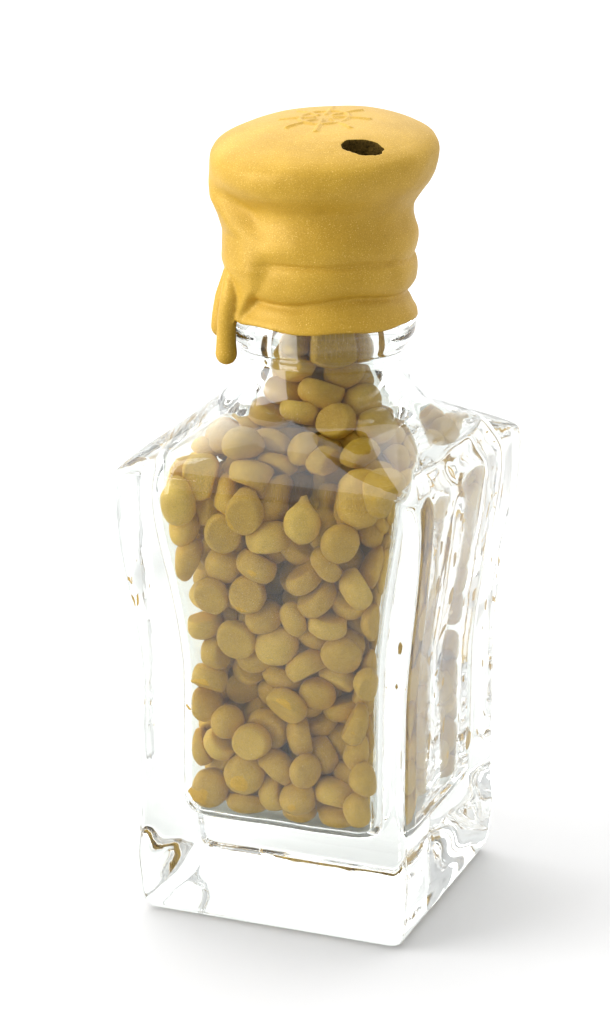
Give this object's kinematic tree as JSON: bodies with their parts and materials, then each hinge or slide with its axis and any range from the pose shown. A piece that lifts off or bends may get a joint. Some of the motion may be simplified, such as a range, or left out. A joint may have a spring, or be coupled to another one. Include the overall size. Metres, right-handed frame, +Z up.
{
  "type": "wax-sealed glass sample bottle",
  "caption": "Square clear-glass miniature decanter bottle filled with gold-coloured pellets, its wide stopper and mouth sealed under a dipped gold wax coat with drips.",
  "frame": {"origin": "middle of the base, on the surface that the bottle stands on", "axes": "+Z up along the neck, the front face of the bottle looks along -Y, +X to the front face's right"},
  "size_m": [0.0418, 0.0418, 0.1035],
  "materials": {
    "clear_glass": "polished moulded glass, very faint green-grey tint in the thick base",
    "dark_wood": "dark stained wood, hidden under the wax",
    "cork": "fine agglomerated cork",
    "gold_wax": "satin gold sealing wax with fine metallic speckle",
    "gold_pellet": "matte gold-tan pellet with very fine metallic speckle"
  },
  "bodies": {
    "bottle": {"glass_bottle": "clear_glass", "wax_collar": "gold_wax", "pellets_layer_01": "gold_pellet", "pellets_layer_02": "gold_pellet", "pellets_layer_03": "gold_pellet", "pellets_layer_04": "gold_pellet", "pellets_layer_05": "gold_pellet", "pellets_layer_06": "gold_pellet", "pellets_layer_07": "gold_pellet", "pellets_layer_08": "gold_pellet", "pellets_layer_09": "gold_pellet", "pellets_layer_10": "gold_pellet", "pellets_layer_11": "gold_pellet", "pellets_layer_12": "gold_pellet", "pellets_layer_13": "gold_pellet", "pellets_layer_14": "gold_pellet", "pellets_neck_01": "gold_pellet", "pellets_neck_02": "gold_pellet"},
    "stopper": {"stopper_head": "dark_wood", "stopper_shank": "cork", "wax_crown": "gold_wax"}
  },
  "joints": [
    {"name": "stopper_lift", "type": "slide", "parent": "bottle", "child": "stopper", "axis": [0, 0, 1], "range_m": [0, 0.03]}
  ]
}
